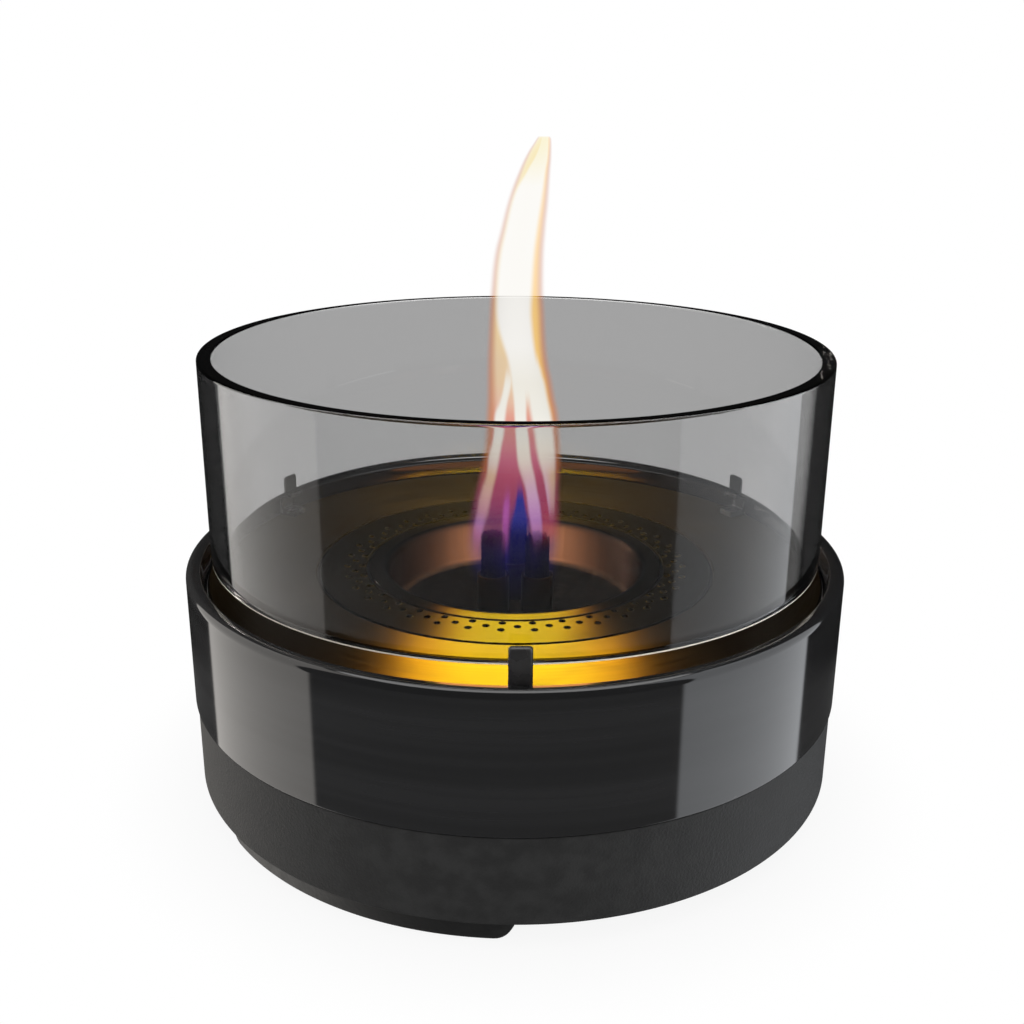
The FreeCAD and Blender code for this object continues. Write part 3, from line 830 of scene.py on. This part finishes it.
# The flame: edges left and right of the axis at each height, all in millimetres.
FLAME_EDGES = [
    (62.0, -11.5, 12.0), (70.0, -14.0, 13.6), (78.5, -15.7, 14.2), (85.9, -15.7, 14.5), (89.5, -15.1, 14.4),
    (96.7, -13.6, 14.1), (102.0, -12.4, 14.0), (107.4, -11.2, 14.3), (112.6, -10.3, 14.5), (121.3, -9.5, 14.0),
    (126.8, -9.3, 13.5), (131.5, -9.1, 12.5), (138.3, -9.1, 11.3), (144.9, -9.1, 10.0), (151.5, -8.9, 9.3),
    (161.3, -8.5, 8.7), (167.7, -8.1, 8.3), (177.3, -7.2, 8.3), (186.6, -5.1, 8.8), (195.9, -2.7, 9.6),
    (205.0, 0.7, 10.1), (210.0, 3.1, 10.4), (213.0, 5.0, 10.4), (215.0, 6.3, 10.0)]
WHITE_CORE = [
    (132.0, -0.4, 6.5), (138.3, -1.6, 8.3), (144.9, -2.6, 6.6), (151.5, -4.6, 5.4), (157.0, -6.0, 4.8),
    (161.3, -6.4, 4.5), (167.7, -6.3, 4.8), (177.3, -5.5, 5.3), (186.6, -3.6, 6.3), (195.9, -1.4, 7.6),
    (205.0, 3.2, 8.7), (211.0, 6.4, 9.4), (215.0, 7.6, 9.4)]
LEFT_STRAND = [
    (78.0, -14.4, -12.6), (82.2, -14.5, -12.3), (85.9, -14.5, -11.5), (89.5, -13.9, -10.7), (93.1, -13.1, -9.5),
    (96.7, -12.6, -8.8), (102.0, -11.2, -7.8), (107.4, -9.6, -6.6), (112.6, -9.1, -5.6), (117.8, -7.8, -4.8),
    (121.3, -7.3, -4.1), (126.8, -7.0, -3.6), (131.5, -5.3, -3.0), (136.0, -4.2, -2.0), (141.0, -3.5, -1.2)]
MIDDLE_STRAND = [
    (83.7, 6.3, 8.5), (89.5, 5.2, 9.0), (93.1, 4.6, 8.6), (96.7, 4.1, 8.2), (102.1, 3.5, 7.1),
    (107.4, 2.0, 6.2), (112.6, 0.6, 5.0), (121.3, -0.1, 4.0), (126.8, -0.5, 3.3), (131.6, -0.7, 3.3),
    (141.6, -2.4, 3.5)]
RIGHT_STRAND = [
    (93.1, 11.3, 13.3), (96.7, 10.9, 13.3), (102.1, 10.1, 13.4), (107.4, 9.1, 13.3), (112.6, 7.6, 13.2),
    (117.9, 6.6, 12.8), (121.3, 6.2, 12.4), (126.8, 5.0, 11.5), (131.6, 4.3, 10.4), (138.3, 3.2, 9.0),
    (141.7, 2.9, 7.8), (146.0, 2.6, 7.0)]
PINK_RIDGE = [(84.0, -4.4, -2.3), (93.1, -4.3, -2.2), (100.3, -3.4, -2.0)]
BLUE_CONE = [
    (66.0, -2.4, 5.1), (85.9, -2.3, 5.1), (89.5, -2.0, 4.7), (93.1, -1.4, 4.1), (96.7, -0.4, 3.2),
    (103.0, 0.6, 2.2)]
FLAME_DEPTH = 0.85
# How thick the glowing gas is at each height, per metre.
GAS_DENSITY = [
    (62.0, 0.0), (68.0, 6.0), (75.0, 16.0), (80.0, 34.0), (84.0, 54.0), (89.5, 88.0), (93.0, 115.0),
    (97.0, 150.0), (105.0, 165.0), (125.0, 165.0), (150.0, 135.0), (190.0, 130.0), (205.0, 180.0),
    (215.0, 280.0)]
# Colours by height: of the gas between the strands, and of the strands.
GAS_COLOURS = [
    (66.0, 0.012, 0.01, 0.18), (78.0, 0.03, 0.02, 0.34), (82.2, 0.075, 0.03, 0.28), (86.0, 0.13, 0.025, 0.18),
    (89.5, 0.17, 0.024, 0.14), (93.0, 0.3, 0.064, 0.175), (96.7, 0.38, 0.064, 0.172),
    (102.0, 0.47, 0.08, 0.165), (107.4, 0.57, 0.105, 0.19), (112.6, 0.69, 0.18, 0.28),
    (117.8, 0.74, 0.26, 0.29), (126.8, 0.77, 0.34, 0.26), (131.5, 0.8, 0.52, 0.38), (138.3, 0.8, 0.58, 0.36),
    (145.0, 0.81, 0.6, 0.37), (155.0, 0.92, 0.68, 0.35), (215.0, 0.92, 0.76, 0.32)]
STRAND_COLOURS = [
    (78.0, 0.22, 0.06, 0.36), (84.0, 0.36, 0.11, 0.46), (86.0, 0.5, 0.17, 0.56), (89.5, 0.6, 0.27, 0.67),
    (93.0, 0.7, 0.32, 0.71), (96.7, 0.75, 0.39, 0.71), (102.0, 0.82, 0.5, 0.7), (107.4, 0.9, 0.6, 0.62),
    (112.6, 1.0, 0.87, 0.76), (117.8, 1.0, 0.93, 0.82), (121.3, 0.98, 0.94, 0.86), (126.8, 0.88, 0.86, 0.79),
    (138.0, 0.88, 0.85, 0.77), (150.0, 0.97, 0.95, 0.91), (200.0, 0.97, 0.95, 0.9), (214.0, 0.95, 0.86, 0.5)]


def along_height(tree, z, stations, unit=MM):
    """A value that follows a table of (height in millimetres, value)."""
    low, high = stations[0][0], stations[-1][0]
    least = min(value for _, value in stations)
    span = max(value for _, value in stations) - least
    node = add(tree, "ShaderNodeFloatCurve")
    curve = node.mapping.curves[0]
    spots = [((height - low) / (high - low), (value - least) / span) for height, value in stations]
    curve.points[0].location, curve.points[1].location = spots[0], spots[-1]
    for spot in spots[1:-1]:
        curve.points.new(*spot)
    node.mapping.update()
    feed(tree, node, Value=calc(tree, "DIVIDE", calc(tree, "SUBTRACT", z, low * MM), (high - low) * MM))
    return calc(tree, "MULTIPLY_ADD", node.outputs[0], span * unit, least * unit)


def colour_by_height(tree, z, stations):
    """A colour that follows a table of (height in millimetres, red, green, blue)."""
    low, high = stations[0][0] * MM, stations[-1][0] * MM
    node = add(tree, "ShaderNodeValToRGB")
    feed(tree, node, in0=calc(tree, "DIVIDE", calc(tree, "SUBTRACT", z, low), high - low))
    elements = node.color_ramp.elements
    spots = [((height * MM - low) / (high - low), (*colour, 1)) for height, *colour in stations]
    elements[0].position, elements[0].color = spots[0]
    elements[1].position, elements[1].color = spots[-1]
    for position, colour in spots[1:-1]:
        elements.new(position).color = colour
    return node.outputs[0]


def between_edges(tree, x, z, edges):
    """Where a point lies between two edges, -1 at the left and 1 at the right, and half their distance."""
    left, right = (along_height(tree, z, [(row[0], row[side]) for row in edges]) for side in (1, 2))
    half = times(tree, calc(tree, "SUBTRACT", right, left), 0.5)
    middle = calc(tree, "ADD", left, half)
    return calc(tree, "DIVIDE", calc(tree, "SUBTRACT", x, middle), half), half


def strand(tree, x, z, edges, soft, foot=0.004, tip=0.004):
    """A bright strand of flame: 1 in its middle and 0 outside its edges and beyond its ends."""
    across = calc(tree, "ABSOLUTE", between_edges(tree, x, z, edges)[0])
    inside = ramp(tree, across, 1.0 + soft, 1.0 - soft)
    low, high = edges[0][0] * MM, edges[-1][0] * MM
    ends = times(tree, ramp(tree, z, low - foot, low + foot), ramp(tree, z, high + tip, high - tip))
    return times(tree, inside, ends)


def flame_light():
    """Glowing gas: white core and strands, orange edges, pink and violet between, blue at the wicks."""
    material, tree = bare_material("flame_light")
    where, x, y, z = object_place(tree)
    across, half = between_edges(tree, x, z, FLAME_EDGES)
    deep = calc(tree, "DIVIDE", y, times(tree, half, FLAME_DEPTH))
    reach = far_side(tree, across, deep)
    body = times(tree, ramp(tree, reach, 1.14, 0.86), ramp(tree, z, 0.2158, 0.2142))
    to_right = times(tree, ramp(tree, across, 0.3, 0.75), ramp(tree, z, 0.112, 0.135))
    gas = mix(tree, to_right, colour_by_height(tree, z, GAS_COLOURS), (1.0, 0.6, 0.14, 1))
    red = times(tree, ramp(tree, x, 0.0065, 0.0105), ramp(tree, z, 0.104, 0.094), ramp(tree, z, 0.0815, 0.087))
    gas = mix(tree, red, gas, (0.52, 0.07, 0.15, 1))
    at_edge = times(tree, ramp(tree, calc(tree, "ABSOLUTE", across), 0.68, 0.98), ramp(tree, z, 0.099, 0.114))
    gas = mix(tree, at_edge, gas, (0.62, 0.2, 0.06, 1))
    gas = mix(tree, strand(tree, x, z, PINK_RIDGE, 0.7), gas, (0.57, 0.127, 0.5, 1))
    white = strand(tree, x, z, WHITE_CORE, 0.2, tip=0.0008)
    for edges, soft in ((LEFT_STRAND, 0.4), (MIDDLE_STRAND, 0.3), (RIGHT_STRAND, 0.3)):
        white = calc(tree, "MAXIMUM", white, strand(tree, x, z, edges, soft))
    to_side = ramp(tree, calc(tree, "ABSOLUTE", calc(tree, "SUBTRACT", x, 0.0045)), 0.005, 0.008)
    warmer = times(tree, to_side, ramp(tree, z, 0.089, 0.094), ramp(tree, z, 0.111, 0.106))
    pale = mix(tree, warmer, colour_by_height(tree, z, STRAND_COLOURS), (1.0, 1.0, 0.6, 1), "MULTIPLY")
    lit = mix(tree, white, gas, pale)
    cone = strand(tree, x, z, BLUE_CONE, 0.3, tip=0.003)
    blue = mix(tree, ramp(tree, z, 0.086, 0.093), (0.008, 0.007, 0.13, 1), (0.035, 0.037, 0.34, 1))
    lit = mix(tree, cone, lit, blue)
    lit = mix(tree, ramp(tree, z, 0.13, 0.118), lit, grey(1.03), "MULTIPLY")
    density = times(tree, body, along_height(tree, z, GAS_DENSITY, 1.0))
    soak = put(tree, "ShaderNodeVolumeAbsorption", Color=grey(0), Density=density)
    show(tree, Volume=put(tree, "ShaderNodeAddShader", in0=soak, in1=emission(tree, lit, density)))
    material.cycles.volume_step_rate = 0.12
    return material


def flame():
    """The burning flame, which is light and not a part: it rides with the wicks and is staging."""
    sections = []
    for z, left, right in FLAME_EDGES:
        half = (right - left) / 2 * 1.16
        turns = [math.tau * side / 24 for side in range(24)]
        sections.append([Vector(((left + right) / 2 + half * math.cos(turn),
                                 half * FLAME_DEPTH * math.sin(turn), z)) * MM for turn in turns])
    points, faces = closed_sweep(sections)
    piece = new_piece("flame", points, (), faces)
    piece.data.materials.append(flame_light())
    piece.visible_shadow = piece.visible_diffuse = piece.visible_glossy = False
    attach(piece, "cap")


def light_link(lamp, names, state="INCLUDE"):
    """Keeps a lamp's light on the objects named, or off them."""
    linked = bpy.data.collections.new("linked_to_" + lamp.name)
    for name in names:
        linked.objects.link(bpy.data.objects[name])
    for entry in linked.collection_objects:
        entry.light_linking.link_state = state
    lamp.light_linking.receiver_collection = linked


def flame_glow(name, z, radius, colour, energy, onto, mirrored=True, shadow=True, back=0.0):
    """Light of the flame on the pieces named, as a glowing ball on the axis or behind it."""
    light = bpy.data.lights.new(name, "POINT")
    light.color = colour
    light.energy = energy
    light.shadow_soft_size = radius * MM
    light.use_shadow = shadow
    lamp = stand(name, light)
    lamp.location = (0, back * MM, z * MM)
    lamp.visible_camera = lamp.visible_transmission = False
    lamp.visible_glossy = mirrored
    light_link(lamp, onto)
    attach(lamp, "cap")


def studio_wall():
    """Dark surround with two tall soft panels and one overhead, seen only in reflections."""
    radius, high = 1.6, 2.5
    points, faces = closed_sweep([[
        (radius * math.cos(math.tau * side / 72), radius * math.sin(math.tau * side / 72), z)
        for side in range(72)] for z in (-high, high)])
    wall = new_piece("studio_surround", points, (), faces)
    material, tree = bare_material("surround_light")
    where, x, y, z = object_place(tree)
    azimuth = times(tree, calc(tree, "ARCTAN2", x, times(tree, y, -1.0)), 180 / math.pi)
    upright = ramp(tree, calc(tree, "ABSOLUTE", z), 2.49, 2.48)

    def panel(low, high, strength, soft=1.0):
        rise = ramp(tree, azimuth, low - soft, low + soft)
        fall = ramp(tree, azimuth, high - soft, high + soft, strength, 0.0)
        return times(tree, rise, fall, upright)

    overhead = times(tree, ramp(tree, z, 2.48, 2.49), ramp(tree, far_side(tree, x, y), 1.5, 1.42, 0.0, 3.6),
                     ramp(tree, y, -1.3, -1.0))
    front = times(tree, ramp(tree, calc(tree, "ABSOLUTE", azimuth), 60.0, 140.0, 0.2, 0.06),
                  ramp(tree, z, -0.72, -0.64, 1.0, 0.2))
    total = emission(tree, grey(1), calc(tree, "ADD", front, overhead))
    for colour, strength in (((1.0, 0.96, 0.91, 1), panel(-124, -70, 1.65)),
                             ((0.93, 0.96, 1.0, 1), panel(54.5, 112, 1.85))):
        total = put(tree, "ShaderNodeAddShader", in0=total, in1=emission(tree, colour, strength))
    path = add(tree, "ShaderNodeLightPath").outputs
    mirrored = calc(tree, "MAXIMUM", path["Is Glossy Ray"],
                    calc(tree, "GREATER_THAN", path["Glossy Depth"], 0.5))
    show(tree, Surface=either(tree, mirrored, put(tree, "ShaderNodeBsdfTransparent"), total))
    wall.data.materials.append(material)
    wall.visible_camera = wall.visible_diffuse = False
    wall.visible_shadow = wall.visible_volume_scatter = False


def background_seen(tree):
    """1 where a ray shows the background itself: straight, in a mirror or through glass."""
    path = add(tree, "ShaderNodeLightPath").outputs
    return calc(tree, "MAXIMUM", path["Is Camera Ray"],
                calc(tree, "MAXIMUM", path["Is Glossy Ray"], path["Is Transmission Ray"]))


def floor():
    piece = new_piece("studio_floor", [(-3, -3, 0), (3, -3, 0), (3, 3, 0), (-3, 3, 0)], (), [(0, 1, 2, 3)])
    material, tree = bare_material("pale_floor")
    where, x, y, z = object_place(tree)
    bare = ramp(tree, far_side(tree, x, y), 0.105, 0.15, 0.9, 1.0)
    paper = put(tree, "ShaderNodeBsdfDiffuse", Color=grey(0.9))
    show(tree, Surface=either(tree, times(tree, background_seen(tree), bare), paper,
                              emission(tree, grey(1), 1.0)))
    piece.data.materials.append(material)
    piece.visible_glossy = False


def world():
    sky = bpy.data.worlds.new("studio")
    bpy.context.scene.world = sky
    sky.use_nodes = True
    tree = sky.node_tree
    tree.nodes.clear()
    soft, white = (put(tree, "ShaderNodeBackground", Color=grey(1), Strength=level) for level in (0.9, 1.0))
    feed(tree, add(tree, "ShaderNodeOutputWorld"), Surface=either(tree, background_seen(tree), soft, white))


def soft_panel(name, azimuth, energy, colour):
    """Side lamp for the housing: the floor and the dark metal under the glass don't get its light."""
    light = bpy.data.lights.new(name, "AREA")
    light.shape = "RECTANGLE"
    light.size, light.size_y = 0.3, 0.6
    light.energy = energy
    light.color = colour
    lamp = stand(name, light)
    lamp.location = place(1100, 350, azimuth)
    lamp.rotation_euler = (Vector((0, 0, 0.06)) - lamp.location).to_track_quat("-Z", "Y").to_euler()
    lamp.visible_glossy = lamp.visible_camera = False
    light_link(lamp, ["studio_floor", "turned_tray", "perforated_air_ring", "dish_flange"], "EXCLUDE")


def camera():
    data = bpy.data.cameras.new("camera")
    data.sensor_width = 36.0
    data.lens = 43.26
    data.shift_x = -0.0033
    data.clip_start = 0.01
    view = stand("camera", data)
    away, orbit = 396.86, math.radians(-0.92)
    spot = Vector((away * math.sin(orbit), -away * math.cos(orbit), 228.6)) * MM
    aim = Vector((0, 0, 92.4)) * MM
    turn = (aim - spot).to_track_quat("-Z", "Y").to_matrix().to_4x4()
    roll = Matrix.Rotation(0.0064, 4, "Z")
    view.matrix_world = Matrix.Translation(spot) @ turn @ roll
    bpy.context.scene.camera = view


flame()
outer, inner, lip = ["turned_tray"], ["perforated_air_ring", "dish_flange"], ["gloss_band_shell"]
flame_glow("yellow_glow", 110, 29, (0.4, 1.0, 0.004), 0.88, outer)
flame_glow("amber_glow", 111, 44, (0.92, 0.49, 0.004), 4.75, outer)
flame_glow("orange_glow", 112, 50, (1.0, 0.3, 0.008), 2.75, outer)
flame_glow("brown_glow", 106, 56, (1.0, 0.3, 0.04), 0.43, outer)
flame_glow("inner_yellow_glow", 110, 24, (0.5, 1.0, 0.008), 0.85, inner)
flame_glow("inner_amber_glow", 111, 31, (0.9, 0.5, 0.008), 3.2, inner)
flame_glow("inner_orange_glow", 112, 37, (1.0, 0.28, 0.008), 1.75, inner)
flame_glow("lip_glow", 66, 45, (1.0, 0.36, 0.12), 0.25, lip)
flame_glow("lip_yellow_glow", 104, 30, (1.0, 0.77, 0.1), 0.01, lip)
flame_glow("well_glow", 66, 9, (1.0, 0.62, 0.38), 0.34, ["dish_wall"], shadow=False, back=12)
flame_glow("edge_glow", 120, 20, (1.0, 0.8, 0.5), 0.35, ["glass_ring"], mirrored=False)
studio_wall()
floor()
world()
soft_panel("left_panel", -128, 36.0, (1.0, 0.95, 0.88))
soft_panel("right_panel", 114, 1.3, (0.9, 0.95, 1.0))
camera()
bpy.context.scene.view_settings.view_transform = "Standard"


def corners(bounds):
    return [list(corner) for corner in bounds]
